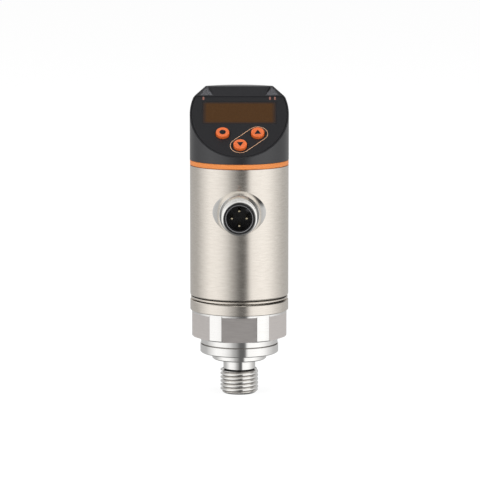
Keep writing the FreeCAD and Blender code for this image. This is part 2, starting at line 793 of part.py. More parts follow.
def board_chips():
    """Controller and output driver on the back of the main board."""
    chips = [
        block("chip_" + name, (size, "chip_thickness", size),
              ("-%s / 2" % size, "-" + BOARD_BACK, "%s + %s" % (BOARD_BASE, rise)))
        for name, size, rise in (("controller", "controller_size", "controller_rise"),
                                 ("driver", "driver_size", "driver_rise"))]
    return group("board_chips", chips)


def ribbon(label, start_level, start_y, spine_points):
    """Flat ribbon cable swept along a path in the plane x = 0."""
    body = new_body(label)
    section = rectangle(
        new_sketch(body, "section", "XY_Plane", start_level),
        "-ribbon_width / 2", start_y + " - ribbon_thickness / 2",
        "ribbon_width / 2", start_y + " + ribbon_thickness / 2")
    spine = outline(new_sketch(body, "spine", "YZ_Plane"), spine_points, closed=False)
    pipe = body.newObject("PartDesign::AdditivePipe", label + "_sweep")
    pipe.Profile = section
    pipe.Spine = spine
    pipe.Transition = 1
    return body


def cell_lead():
    """Ribbon from the cell to the main board, folded to take up the swivel."""
    start = CELL_TOP + " + cell_gap"
    fold = CELL_TOP + " + clamp_height"
    board_y = "(ribbon_thickness / 2 - %s)" % BOARD_BACK
    return ribbon("cell_lead", start, "0", [
        ("0", start), ("0", fold), ("lead_swing", fold + " + lead_rise / 2"),
        ("-lead_swing", fold + " + lead_rise * 3 / 2"), ("0", fold + " + lead_rise * 2"),
        ("0", CARRIER_TOP), (board_y, CARRIER_TOP + " + lead_rise"),
        (board_y, CARRIER_TOP + " + lead_rise + lead_overlap")])


def display_ribbon():
    """Ribbon from the main board's top to the underside of the display board."""
    board_y = "(ribbon_thickness / 2 - %s)" % BOARD_BACK
    start = BOARD_BASE + " + board_length - lead_overlap"
    depth = "(display_board_depth + board_thickness + ribbon_thickness)"
    return ribbon("display_ribbon", start, board_y, [
        (board_y, start), (board_y, BOARD_BASE + " + board_length + tongue_length"),
        (board_y + " + lead_rise", SLEEVE_TOP),
        (depth + " * sin(face_tilt) - ribbon_landing * cos(face_tilt)",
         "%s - ribbon_landing * sin(face_tilt) - %s * cos(face_tilt)" % (FACE_LEVEL, depth))])


def head_seal():
    """O-ring between the head's spigot and the sleeve."""
    body = new_body("head_seal")
    low = "(%s - head_seal_drop)" % SLEEVE_TOP
    turn(body, "ring", ring_section(
        "(%s - head_seal_depth)" % PLUG_RADIUS, PLUG_RADIUS, low,
        "(%s + o_ring_width)" % low, "(head_seal_depth / 3)"))
    return body


def slanted_slab(label, radius, top, base):
    """A slab parallel to the head's face, round in plan, that ends at the brow."""
    body = new_body(label)
    blank = circle(new_sketch(body, "blank_profile", "XY_Plane", HEAD_BASE), radius)
    pad(body, "blank", blank, "head_height")
    frame = new_sketch(body, "slab_profile", "YZ_Plane")
    rectangle(frame, "-2 * head_radius", "%s - head_radius" % HEAD_BASE,
              "2 * head_radius", "%s + head_radius" % HEAD_TOP)

    def at(s, depth):
        return ("(%s) * cos(face_tilt) + %s * sin(face_tilt)" % (s, depth),
                "%s + (%s) * sin(face_tilt) - %s * cos(face_tilt)" % (FACE_LEVEL, s, depth))

    far, near = "-1.6 * head_radius", "brow_distance - panel_margin / 2"
    outline(frame, [at(far, base), at(near, base), at(near, top), at(far, top)])
    pocket(body, "slab", frame, Midplane=True)
    return body


def face_openings(body, extra, depth, window=True):
    """Cut the window and the three button holes down from the face."""
    face = new_sketch(body, "holes_profile", "XY_Plane", FACE_LEVEL, "face_tilt")
    for x, s in BUTTONS.values():
        circle(face, "button_radius + button_gap", x, s)
    if window:
        window_outline(face, "fit_gap")
    pocket(body, extra, face, depth)


def window_outline(sketch, margin):
    """The window's rectangle, larger by a margin all round."""
    rectangle(sketch, "-window_half_width - " + margin, "-window_low - " + margin,
              "window_half_width + " + margin, "window_high + " + margin)


def lamp_outline(sketch, side, margin):
    """The three-cornered status lamp in the corner facet, larger by a margin."""
    outline(sketch, [
        ("%s (lamp_inner - %s)" % (side, margin), "%s + lamp_front - %s" % (BROW_T, margin)),
        ("%s (lamp_outer + %s)" % (side, margin), "%s + lamp_front - %s" % (BROW_T, margin)),
        ("%s (lamp_inner + lamp_slant + lamp_tip + %s)" % (side, margin),
         "%s + lamp_back + %s" % (BROW_T, margin)),
        ("%s (lamp_inner + lamp_slant - %s)" % (side, margin),
         "%s + lamp_back + %s" % (BROW_T, margin))])


def head_housing():
    """Moulded head: a plugged-in cylinder with a slanted face and two corner facets."""
    body = new_body("head_blank")
    foot = "(%s - head_spigot_length)" % SLEEVE_TOP
    turn(body, "cylinder", [
        ("0", foot), (PLUG_RADIUS, foot), (PLUG_RADIUS, HEAD_BASE), ("head_radius", HEAD_BASE),
        ("head_radius", HEAD_TOP + " - head_edge", "head_edge"),
        ("head_radius - head_edge", HEAD_TOP), ("0", HEAD_TOP)])
    groove_low = "(%s - head_seal_drop)" % SLEEVE_TOP
    groove_floor = PLUG_RADIUS + " - head_seal_depth"
    turn(body, "seal_groove", [
        (groove_floor, groove_low), ("sleeve_radius", groove_low),
        ("sleeve_radius", groove_low + " + o_ring_width"),
        (groove_floor, groove_low + " + o_ring_width")], cut=True)

    face = new_sketch(body, "face_profile", "YZ_Plane")
    run, rise = "2 * head_radius", "2 * head_radius * tan(face_tilt)"
    outline(face, [("-" + run, "%s - %s" % (FACE_LEVEL, rise)),
                   (run, "%s + %s" % (FACE_LEVEL, rise)),
                   ("-" + run, "%s + %s" % (FACE_LEVEL, rise))])
    pocket(body, "face", face, Midplane=True)

    roof = new_sketch(body, "cavity_profile", "XY_Plane",
                      "%s - deck_thickness / cos(face_tilt)" % FACE_LEVEL, "face_tilt")
    ellipse(roof, "head_cavity_radius", "head_cavity_radius / cos(face_tilt)")
    pocket(body, "cavity", roof, "head_height + head_radius + head_spigot_length",
           UseCustomVector=True, Direction=Vector(0, 0, -1), AlongSketchNormal=False)

    facets = new_sketch(body, "facets_profile", "XY_Plane", CORNER_LEVEL, "corner_tilt")
    for side in ("1 *", "-1 *"):
        outline(facets, [
            (side + " corner_inner", BROW_T),
            (side + " head_radius * 1.2", BROW_T),
            (side + " head_radius * 1.2", BROW_T + " + corner_length"),
            (side + " (corner_inner + corner_slant)", BROW_T + " + corner_length")])
    pocket(body, "facets", facets, "corner_depth", Reversed=True)

    flats = new_sketch(body, "flats_profile", "XY_Plane", HEAD_TOP)
    across, along = "cos(corner_flat_bearing)", "sin(corner_flat_bearing)"
    near, far = "(head_radius - corner_flat_depth)", "(head_radius * 1.2)"
    for side in ("1 *", "-1 *"):
        outline(flats, [
            ("%s (%s * %s %s head_radius / 2 * %s)" % (side, out, across, minus, along),
             "%s * %s %s head_radius / 2 * %s" % (out, along, plus, across))
            for out, minus, plus in ((near, "-", "+"), (near, "+", "-"),
                                     (far, "+", "-"), (far, "-", "+"))])
    pocket(body, "flats", flats, "corner_flat_height")

    lamps = new_sketch(body, "lamps_profile", "XY_Plane", CORNER_LEVEL, "corner_tilt")
    guides = new_sketch(body, "guides_profile", "XY_Plane", CORNER_LEVEL, "corner_tilt")
    for side in ("1 *", "-1 *"):
        lamp_outline(lamps, side, "lamp_gap")
        circle(guides, "guide_radius + lamp_gap", side + " guide_x",
               BROW_T + " + lamp_front + guide_radius * 2")
    pocket(body, "lamps", lamps, "lamp_thickness")
    pocket(body, "guides", guides, "guide_length + lamp_gap")

    face_openings(body, "button_holes", "deck_thickness * 2", window=False)
    seat = new_sketch(body, "window_seat_profile", "XY_Plane", FACE_LEVEL, "face_tilt")
    window_outline(seat, "fit_gap")
    pocket(body, "window_seat", seat, "window_depth")
    throat = rectangle(
        new_sketch(body, "module_profile", "XY_Plane", FACE_LEVEL, "face_tilt"),
        "-module_half_width - module_gap", "-module_low - module_gap",
        "module_half_width + module_gap", "module_high + module_gap")
    pocket(body, "module_throat", throat, "deck_thickness * 2")

    recess = slanted_slab("panel_recess_tool", "head_radius - panel_margin + panel_gap",
                          "(-panel_recess)", "panel_recess")
    cut = doc.addObject("Part::Cut", "head_housing")
    cut.Base = body
    cut.Tool = recess
    return cut


def face_panel():
    """Black foil in the head's recess, open at the window and the buttons."""
    body = slanted_slab("face_panel", "head_radius - panel_margin",
                        "(panel_recess - panel_thickness)", "panel_recess")
    face_openings(body, "openings", "deck_thickness")
    return body


def face_body(label):
    """A body whose own XY plane is the head's face."""
    return new_body(label, FACE_LEVEL, "face_tilt")


def display_window():
    """Tinted pane that lies in its seat over the display."""
    body = face_body("display_window")
    pane = new_sketch(body, "pane_profile", "XY_Plane", "-window_depth")
    window_outline(pane, "0")
    pad(body, "pane", pane, "window_thickness")
    return body


def display_module():
    """Digit block that stands on the display board under the window."""
    body = face_body("display_module")
    digits = rectangle(
        new_sketch(body, "block_profile", "XY_Plane", "-display_board_depth"),
        "-module_half_width", "-module_low", "module_half_width", "module_high")
    pad(body, "block", digits, "display_board_depth - window_depth - running_gap")
    return body


def display_board():
    """Circuit board parallel to the face."""
    body = face_body("display_board")
    sheet_edge = outline(new_sketch(body, "edge", "XY_Plane", "-display_board_depth"), [
        ("-display_board_half_width", "display_board_high"),
        ("-display_board_half_width", "-display_board_shoulder"),
        ("-display_board_foot", "-display_board_low"),
        ("display_board_foot", "-display_board_low"),
        ("display_board_half_width", "-display_board_shoulder"),
        ("display_board_half_width", "display_board_high")])
    pad(body, "sheet", sheet_edge, "board_thickness", Reversed=True)
    return body


def button(label):
    """Round-topped push button with a flange under the deck."""
    x, s = BUTTONS[label]
    body = face_body(label)
    bind(body, "Placement.Base.x", x)
    bind(body, "Placement.Base.y", "(%s) * cos(face_tilt)" % s)
    bind(body, "Placement.Base.z", "%s + (%s) * sin(face_tilt)" % (FACE_LEVEL, s))
    flange_top = "-deck_thickness - running_gap"
    turn(body, "cap", [
        ("0", "-" + FLANGE_BASE), ("button_flange_radius", "-" + FLANGE_BASE),
        ("button_flange_radius", flange_top), ("button_radius", flange_top),
        ("button_radius", "button_rise - button_edge", "button_edge"),
        ("button_radius - button_edge", "button_rise"), ("0", "button_rise")])
    return body


def tact_switches():
    """Three short-travel switches on the display board, one under each button."""
    parts = []
    top = "(%s + plunger_height)" % PLUNGER_TOP
    for label, (x, s) in BUTTONS.items():
        name = label.replace("button", "switch")
        case = block(name + "_case",
                     ("2 * switch_half_width", "2 * switch_half_width",
                      "display_board_depth - " + top),
                     (x + " - switch_half_width", s + " - switch_half_width",
                      "-display_board_depth"))
        plunger = doc.addObject("Part::Cylinder", name + "_plunger")
        bind(plunger, "Radius", "plunger_radius")
        bind(plunger, "Height", "plunger_height")
        for axis, text in (("x", x), ("y", s), ("z", "-" + top)):
            bind(plunger, "Placement.Base." + axis, text)
        switch = doc.addObject("Part::Fuse", name)
        switch.Base = case
        switch.Tool = plunger
        parts.append(switch)
    return group("tact_switches", parts, FACE_LEVEL, "face_tilt")


def status_leds():
    """Two lamp chips on the display board, one below each light guide."""
    chips = [
        block("lamp_chip_" + name, ("lamp_chip_size", "lamp_chip_size", "lamp_chip_size / 2"),
              (side + "lamp_chip_x - lamp_chip_size / 2", "lamp_chip_s - lamp_chip_size / 2",
               "-display_board_depth"))
        for name, side in (("right", ""), ("left", "-"))]
    return group("status_leds", chips, FACE_LEVEL, "face_tilt")


def led_window(label, side):
    """Clear three-cornered light guide in a corner facet."""
    body = new_body(label, CORNER_LEVEL, "corner_tilt")
    top = new_sketch(body, "lens_profile", "XY_Plane")
    lamp_outline(top, side, "0")
    pad(body, "lens", top, "lamp_thickness", Reversed=True)
    guide = circle(new_sketch(body, "guide_profile", "XY_Plane"), "guide_radius",
                   side + " guide_x", BROW_T + " + lamp_front + guide_radius * 2")
    pad(body, "guide", guide, "guide_length", Reversed=True)
    return body


nodes = [
    process_fitting(), thread_seal_ring(), cell_seal(), measuring_cell(), cell_clamp_ring(),
    stop_pin(), swivel_seal(), snap_ring(), swivel_ring(), housing_sleeve(), colour_ring(),
    connector_shell(), connector_insert(), insert_seal(), contact_pins(), board_carrier(),
    main_board(), board_chips(), cell_lead(), display_ribbon(), head_seal(), head_housing(),
    face_panel(), display_window(), display_module(), display_board(), tact_switches(),
    status_leds(), led_window("led_window_left", "-1 *"),
    led_window("led_window_right", "1 *"),
]
nodes += [button(label) for label in BUTTONS]

doc.recompute()
for thing in doc.Objects:
    if "Invalid" in thing.State or "Error" in thing.State:
        raise RuntimeError("%s failed: %s" % (thing.Name, thing.State))
os.makedirs("parts", exist_ok=True)
for node in nodes:
    if node.Shape.isNull() or not node.Shape.isValid():
        raise RuntimeError("%s has no valid shape" % node.Label)
for node in nodes:
    node.Shape.exportStep("parts/%s.step" % node.Label)
    print("%-18s %9.2f mm3, %d solid(s)" % (node.Label, node.Shape.Volume,
                                            len(node.Shape.Solids)))
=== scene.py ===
import math
import bpy
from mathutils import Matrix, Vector


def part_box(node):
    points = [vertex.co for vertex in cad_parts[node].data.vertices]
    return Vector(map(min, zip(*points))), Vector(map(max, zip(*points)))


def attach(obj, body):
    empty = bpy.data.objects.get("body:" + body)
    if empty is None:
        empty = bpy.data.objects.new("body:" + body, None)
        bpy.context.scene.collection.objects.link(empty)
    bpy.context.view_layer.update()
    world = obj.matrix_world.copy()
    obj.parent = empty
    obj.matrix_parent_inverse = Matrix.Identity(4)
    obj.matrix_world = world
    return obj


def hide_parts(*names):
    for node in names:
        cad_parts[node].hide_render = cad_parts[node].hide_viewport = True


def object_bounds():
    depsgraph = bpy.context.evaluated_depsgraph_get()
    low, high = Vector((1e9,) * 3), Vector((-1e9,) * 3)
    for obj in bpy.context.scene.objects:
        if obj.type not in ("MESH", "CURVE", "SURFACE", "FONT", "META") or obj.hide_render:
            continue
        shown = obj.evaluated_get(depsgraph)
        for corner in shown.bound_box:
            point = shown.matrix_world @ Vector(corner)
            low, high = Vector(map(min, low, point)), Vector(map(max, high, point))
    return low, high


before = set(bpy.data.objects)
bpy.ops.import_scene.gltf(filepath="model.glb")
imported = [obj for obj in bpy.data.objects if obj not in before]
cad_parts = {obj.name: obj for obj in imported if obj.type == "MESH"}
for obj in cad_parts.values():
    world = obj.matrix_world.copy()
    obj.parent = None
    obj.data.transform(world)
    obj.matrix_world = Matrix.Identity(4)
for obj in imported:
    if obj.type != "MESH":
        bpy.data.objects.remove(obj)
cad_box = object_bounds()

# Process fitting: one bar of stainless steel, turned on a lathe from the stud to the hub.
# The six spanner flats are milled afterwards, so they are greyer than the turned faces. The
# stud carries a G1/4 thread, cut up to a neck below the collar.
MM = 0.001
WELD = 1e-6         # metres, vertices nearer than this are one
SMOOTH = 35         # degrees, flatter joints than this are shaded as one round face
SPIN_STEPS = 160    # for the large rings, whose outline shows
FLAT_DISTANCE = 15.25
FLATS_LOW, FLATS_TOP = 7.2, 16.65


def blank(name, add_primitive=bpy.ops.mesh.primitive_plane_add):
    """A primitive one millimetre across to work from, with nothing else selected."""
    bpy.ops.object.select_all(action="DESELECT")
    add_primitive(size=MM)
    piece = bpy.context.object
    piece.name = name
    return piece


def finish_edit(piece, angle=SMOOTH):
    """Clean the mesh up, turn its faces outward and smooth what isn't an edge."""
    bpy.ops.object.mode_set(mode="EDIT")
    bpy.ops.mesh.select_all(action="SELECT")
    bpy.ops.mesh.remove_doubles(threshold=WELD)
    bpy.ops.mesh.normals_make_consistent(inside=False)
    bpy.ops.object.mode_set(mode="OBJECT")
    bpy.ops.object.shade_smooth_by_angle(angle=math.radians(angle))
    return piece


def trace(name, points):
    """A closed line through points in mm, drawn corner by corner and left in edit mode."""
    piece = blank(name)
    bpy.ops.object.mode_set(mode="EDIT")
    bpy.ops.mesh.merge(type="CENTER")
    here = points[0]
    bpy.ops.transform.translate(value=[part * MM for part in here])
    for point in points[1:] + points[:1]:
        step = [(new - old) * MM for old, new in zip(here, point)]
        bpy.ops.mesh.extrude_vertices_move(TRANSFORM_OT_translate={"value": step})
        here = point
    bpy.ops.mesh.select_all(action="SELECT")
    bpy.ops.mesh.remove_doubles(threshold=WELD)
    bpy.ops.mesh.select_all(action="SELECT")
    return piece


def turned(name, profile, steps=128):
    """A closed profile of (radius, height) in mm, spun about Z."""
    piece = trace(name, [(radius, 0, height) for radius, height in profile])
    bpy.ops.mesh.spin(steps=steps, angle=2 * math.pi, center=(0, 0, 0), axis=(0, 0, 1))
    return finish_edit(piece)


def pick(piece):
    """Make one piece the selected and active one."""
    bpy.ops.object.select_all(action="DESELECT")
    piece.select_set(True)
    bpy.context.view_layer.objects.active = piece


def carve(piece, tool, operation="DIFFERENCE"):
    """Cut a tool out of a piece, join it on or keep what they share, and drop the tool.

    A tool with a material leaves it on the faces that it cuts.
    """
    pick(piece)
    change = piece.modifiers.new(operation.title(), "BOOLEAN")
    change.operation = operation
    change.solver = "EXACT"
    change.object = tool
    if tool.data.materials:
        change.material_mode = "TRANSFER"
    bpy.ops.object.modifier_apply(modifier=change.name)
    bpy.data.objects.remove(tool)
    return finish_edit(piece)


def soften(piece, width, segments=2, angle=40):
    """Break the edges of a piece that are sharper than an angle by a width in mm."""
    pick(piece)
    change = piece.modifiers.new("Edges", "BEVEL")
    change.width = width * MM
    change.segments = segments
    change.limit_method = "ANGLE"
    change.angle_limit = math.radians(angle)
    bpy.ops.object.modifier_apply(modifier=change.name)
    bpy.ops.object.shade_smooth_by_angle(angle=math.radians(SMOOTH))
    change = piece.modifiers.new("Normals", "WEIGHTED_NORMAL")
    change.keep_sharp = True
    bpy.ops.object.modifier_apply(modifier=change.name)
    return piece


def settle(piece, turn=(0, 0, 0), move=(0, 0, 0)):
    """Turn a piece by degrees, move it by mm and keep its object at the origin."""
    pick(piece)
    piece.rotation_euler = [math.radians(angle) for angle in turn]
    piece.location = [distance * MM for distance in move]
    bpy.ops.object.transform_apply(location=True, rotation=True, scale=True)
    return piece


def block(name, low, high):
    """A box between two corners in mm."""
    piece = blank(name, bpy.ops.mesh.primitive_cube_add)
    piece.scale = [top - base for base, top in zip(low, high)]
    return settle(piece, move=[(base + top) / 2 for base, top in zip(low, high)])


def thread(name, root, pitch, envelope):
    """A helical ridge about Z on a root radius, cut to an envelope of (radius, height)."""
    ridge = blank(name)
    crest = max(radius for radius, height in envelope)
    low, high = envelope[0][1], envelope[-1][1]
    foot, tip = 0.43 * pitch, 0.14 * pitch      # half the ridge's width, there
    for corner, (radius, height) in zip(ridge.data.vertices, (
            (root, -foot), (crest, -tip), (root, foot), (crest, tip))):
        corner.co = (radius * MM, 0, (low - pitch / 2 + height) * MM)
    bpy.ops.object.mode_set(mode="EDIT")
    bpy.ops.mesh.select_all(action="SELECT")
    bpy.ops.mesh.delete(type="ONLY_FACE")
    bpy.ops.object.mode_set(mode="OBJECT")
    change = ridge.modifiers.new("Helix", "SCREW")
    change.screw_offset = pitch * MM
    change.iterations = int((high - low) / pitch) + 2
    change.steps = change.render_steps = 48
    bpy.ops.object.modifier_apply(modifier=change.name)
    bpy.ops.object.mode_set(mode="EDIT")
    bpy.ops.mesh.select_all(action="SELECT")
    bpy.ops.mesh.fill_holes(sides=0)
    bpy.ops.object.mode_set(mode="OBJECT")
    return carve(finish_edit(ridge, 25), turned("envelope", envelope, 96), "INTERSECT")


def colour(code):
    """A colour written as #rrggbb, as linear values with full opacity."""
    parts = [int(code[at:at + 2], 16) / 255 for at in (1, 3, 5)]
    return [part / 12.92 if part <= 0.04045 else ((part + 0.055) / 1.055) ** 2.4
            for part in parts] + [1]


def add(tree, kind, inputs=None, **properties):
    """A node with its properties, and its inputs set or linked."""
    node = tree.nodes.new("ShaderNode" + kind)
    for name, setting in properties.items():
        setattr(node, name, setting)
    for name, setting in (inputs or {}).items():
        if isinstance(setting, bpy.types.NodeSocket):
            tree.links.new(setting, node.inputs[name])
        else:
            node.inputs[name].default_value = setting
    return node


def surface(name, low, high, rough, grain=(1, 1, 1), size=1.0, bump=0.02, detail=3, **shader):
    """A material whose tone, gloss and relief follow one grain.

    The tone goes from the colour low to the colour high and the roughness through rough, a
    pair. A grain of noise is size mm across, divided by grain's share along each axis, and
    its relief is bump mm deep. What is left goes onto the shader's own sockets.
    """
    material = bpy.data.materials.new(name)
    material.use_nodes = True
    tree = material.node_tree
    principled = tree.nodes["Principled BSDF"]
    place = add(tree, "TexCoord").outputs["Object"]
    place = add(tree, "Mapping", {"Vector": place, "Scale": [part / MM for part in grain]})
    noise = add(tree, "TexNoise", {"Vector": place.outputs["Vector"], "Scale": 1 / size,
                                   "Detail": detail, "Roughness": 0.6})
    # Noise seldom leaves 0.3 to 0.7, so that span is stretched over both colours.
    spread = add(tree, "MapRange", {"Value": noise.outputs["Fac"], "From Min": 0.3,
                                    "From Max": 0.7})
    tone = add(tree, "Mix", {"Factor": spread.outputs["Result"], "A": colour(low),
                             "B": colour(high)}, data_type="RGBA")
    gloss = add(tree, "MapRange", {"Value": spread.outputs["Result"], "To Min": rough[0],
                                   "To Max": rough[1]})
    relief = add(tree, "Bump", {"Height": noise.outputs["Fac"], "Strength": 0.5,
                                "Distance": bump * MM})
    tree.links.new(tone.outputs["Result"], principled.inputs["Base Color"])
    tree.links.new(gloss.outputs["Result"], principled.inputs["Roughness"])
    tree.links.new(relief.outputs["Normal"], principled.inputs["Normal"])
    for socket, setting in shader.items():
        principled.inputs[socket.replace("_", " ")].default_value = setting
    return material


def dress(piece, material):
    """Give a new piece its material, or one more of them."""
    piece.data.materials.append(material)
    return piece


# The lathe tool leaves rings about 0.1 mm apart round the axis. They are so shallow that the
# steel is nearly a mirror, with crisp upright bands of light and dark.
turned_steel = surface("turned stainless steel", "#F3F1EE", "#FCFBF9", (0.06, 0.11),
                       grain=(0.15, 0.15, 9), bump=0.002, Metallic=1.0)
# The milling cutter leaves level marks across each flat, which is a warmer grey of one even
# tone with hardly a reflection in it.
milled_steel = surface("milled stainless steel", "#EDE6E2", "#F6F0EC", (0.34, 0.42),
                       grain=(0.3, 0.3, 6), bump=0.004, Metallic=1.0)
# The grinding belt runs round the tube. Its lines draw every highlight out into a soft
# upright band. They are really about 0.05 mm apart and are drawn 0.4 mm apart, so they show.
ground_steel = surface("ground stainless steel", "#E5DDD3", "#F1EAE0", (0.2, 0.27),
                       grain=(0.3, 0.3, 2.4), size=0.9, bump=0.002, detail=6, Metallic=1.0)
# Grooves and thread roots are given a dark grey, dull steel: painted shade in these creases.
shade_painted_steel = surface("stainless steel, painted shade", "#8E8A86", "#A5A19D", (0.35, 0.45),
                    grain=(0.3, 0.3, 8), bump=0.004, Metallic=1.0)

stud = [(2.5, -11.6), (2.9, -12), (5.45, -12), (5.72, -11.7), (5.72, -3.9), (5.55, -3.45)]
collar = [(5.55, 1.2), (8.2, 1.2), (8.2, 0), (9.05, 0), (9.4, 0.35), (9.4, 2.15), (9.65, 2.4)]
flange = [(13.25, 2.4), (13.55, 2.7), (13.55, 5.4), (12.9, 5.45), (12.9, 5.75), (13.3, 5.8),
          (13.3, 7.6), (12.9, 8.0)]
spanner_ring = [(15.9, 8.0), (16.4, 8.4), (16.4, 17.35)]
upper_ring = [(16.75, 17.35), (17, 17.6), (17, 20.85), (16.75, 21.1)]
hub = [(13, 21.1), (13, 32.75), (12.75, 33), (10.7, 33), (10.7, 11), (2.5, 11)]
fitting = turned("fitting_bar", stud + collar + flange + spanner_ring + upper_ring + hub,
                 SPIN_STEPS)
for material in (turned_steel, ground_steel, shade_painted_steel):
    dress(fitting, material)
for face in fitting.data.polygons:
    radius, height = face.center.xy.length / MM, face.center.z / MM
    on_upper_ring = 17.3 < height < 21.2
    # The flange's groove line and the stud's core between the thread's turns take the painted
    # shade.
    in_flange_line = 12.8 < radius < 13.2 and 5.4 < height < 5.8
    on_thread_root = 5.7 < radius < 5.8 and height < -3.9
    if on_upper_ring:
        face.material_index = 1
    elif in_flange_line or on_thread_root:
        face.material_index = 2

flats = dress(block("flats", (-12, -20, FLATS_LOW), (12, -FLAT_DISTANCE, FLATS_TOP)),
              milled_steel)
bpy.ops.object.mode_set(mode="EDIT")
bpy.ops.mesh.select_all(action="SELECT")
for _ in range(5):      # one cutter and five turned copies make the six flats
    bpy.ops.mesh.duplicate()
    bpy.ops.transform.rotate(value=math.radians(60), orient_axis="Z",
                             center_override=(0, 0, 0))
bpy.ops.object.mode_set(mode="OBJECT")
carve(fitting, flats)
soften(fitting, 0.12)

ridge = dress(thread("fitting_thread", 5.66, 1.337, [
    (0, -12), (5.63, -12), (6.57, -11.05), (6.57, -3.85), (5.6, -3.3), (0, -3.3)]),
    turned_steel)
for piece in (fitting, ridge):
    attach(piece, "process_connection")
    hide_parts("process_fitting")

# Pieces inside the fitting and the swivel: moulded seals, the ceramic cell under its screwed
# clamp ring, the pressed-in stop pin and the snap ring in the hub's groove. Only the profile
# seal under the collar shows, the rest is finished for the opened model.
def coat(material, *names):
    """Give CAD nodes a material in each of their slots."""
    for name in names:
        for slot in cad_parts[name].material_slots:
            slot.material = material


# Moulded rubber swallows the light: near black, with only a faint wide sheen.
rubber = surface("moulded nitrile rubber", "#17171A", "#26262A", (0.55, 0.7), size=0.3,
                 bump=0.01)
coat(rubber, "thread_seal_ring", "cell_seal", "swivel_seal", "insert_seal", "head_seal")
# Fired alumina is a warm white with the low sheen of an unglazed tile.
coat(surface("fired alumina ceramic", "#E6E2DA", "#F2EFE9", (0.35, 0.5), size=0.2,
             bump=0.004), "measuring_cell")
coat(turned_steel, "cell_clamp_ring")
# Hardening leaves a dark oxide skin that still glints along its edges.
coat(surface("black-oxidised steel", "#1C1C1F", "#28282B", (0.35, 0.5), size=0.3, bump=0.003,
             Metallic=1.0), "stop_pin")
# Spring strip keeps the blue-grey of its heat treatment and fine rolling lines.
coat(surface("rolled spring steel, blued", "#5A5F6B", "#767A84", (0.25, 0.4),
             grain=(1, 1, 8), bump=0.004, Metallic=1.0), "snap_ring")

# Swivel ring: turned from stainless bar and pressed into the foot of the housing sleeve.
# Its band shows between two shadow gaps, and a groove inside it runs over the stop pin.
band = turned("swivel_band", [
    (13.05, 21.5), (16.65, 21.5), (16.8, 21.65), (16.8, 22.05), (16.65, 22.2), (15.45, 22.2),
    (15.45, 30), (13.05, 30)], SPIN_STEPS)
groove = turned("groove", [(13.55, 21), (15.25, 21), (15.25, 23.2), (13.55, 23.2)], 96)
carve(groove, block("stop_lug", (-1.05, 12, 20), (1.05, 17, 24)))
carve(band, groove)
dress(band, ground_steel)
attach(band, "housing")
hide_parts("swivel_ring")

# Black rubber ring, laid into the gap between the swivel ring's band and the sleeve: a dark
# piece where there is only the gap's shade, as painted shade. It lies a little below the steel.
painted_shadow_ring = turned("painted_shadow_ring", [(15.5, 22.22), (16.2, 22.22), (16.3, 22.3), (16.3, 22.5),
                                 (16.2, 22.58), (15.5, 22.58)], 128)
dress(painted_shadow_ring, rubber)
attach(painted_shadow_ring, "housing")

# Housing sleeve: a drawn stainless tube, cut to length and ground round its girth. The swivel
# ring is pressed into its foot and the display head's spigot is pushed into its top.
SLEEVE_RADIUS = 17.0
coat(ground_steel, "housing_sleeve")

# M12 socket: a polished stainless shell with a flared foot, laser-welded to the sleeve.
# The thread ends in a relief groove in front of a round shoulder.
socket_level = (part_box("contact_pins")[0].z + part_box("contact_pins")[1].z) / 2 / MM
FLARE_FOOT = (9.3, 14.1)        # radius and height, as in a profile
FLARE_RISE = (-2.45, 6.4)
FLARE_HOLLOW = 0.62             # deepest in the middle, square to the rise
FLARE_INWARD = (-0.93, -0.36)
FLARE_RUNS = 8


def forward(piece):
    """Turn a piece that was drawn upright to the front, onto the socket's axis."""
    return settle(piece, (90, 0, 0), (0, 0, socket_level))


# Polishing takes the tool marks off: bright, with soft edges on what it mirrors. The scratches
# that are left run along the socket, finer than drawn here, so that they show at all.
socket_steel = surface("polished stainless steel", "#F1EFEB", "#FBFAF7", (0.12, 0.2),
                       grain=(0.3, 6, 0.3), bump=0.003, Metallic=1.0)
flare = []
for step in range(FLARE_RUNS + 1):
    share = step / FLARE_RUNS
    hollow = FLARE_HOLLOW * math.sin(math.pi * share)
    flare.append([foot + rise * share + hollow * inward for foot, rise, inward in zip(
        FLARE_FOOT, FLARE_RISE, FLARE_INWARD)])
shell = dress(turned("socket_shell", [(4.95, 12), (FLARE_FOOT[0], 12)] + flare + [
    (6.85, 21.95), (6.7, 22.1), (5.35, 22.1), (5.35, 23.1), (5.42, 23.2), (5.42, 30.4),
    (5.3, 30.5), (4.95, 30.5)]), socket_steel)
forward(shell)
saddle = turned("saddle", [
    (0, socket_level - 15), (SLEEVE_RADIUS, socket_level - 15),
    (SLEEVE_RADIUS, socket_level + 15), (0, socket_level + 15)], SPIN_STEPS)
carve(shell, saddle)
soften(shell, 0.1)
ridge = thread("socket_thread", 5.36, 1.0, [(0, 23.1), (5.45, 23.1), (6.0, 23.6), (6.0, 30.0),
                                            (5.5, 30.5), (0, 30.5)])
forward(dress(ridge, socket_steel))
for piece in (shell, ridge):
    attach(piece, "housing")
    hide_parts("connector_shell")

# Contact carrier of the socket: black glass-filled polyamide, moulded with a coding key.
# It is pushed in from inside the sleeve until its front flange sits on the shell.
RIM_FOOT = 30.4
# Radii in mm between which the flange carries the painted highlight.
HIGHLIGHT_FROM, HIGHLIGHT_TO = 4.42, 4.64
# The mould's fine spark texture gives a satin with no clear reflections. Its dark grey is
# lighter than the flange's black: painted light in the deep, shaded socket.
painted_light_plastic = surface("black moulded polyamide, painted lighter", "#2A2A2D", "#353538", (0.42, 0.52),
                         size=0.15, bump=0.006)
# The flange is moulded against a smoother face and keeps the plastic's own near black, a shade
# blacker than the painted light inside.
rim_plastic = surface("smooth black polyamide", "#111113", "#19191B", (0.45, 0.55), size=0.15,
                      bump=0.004)
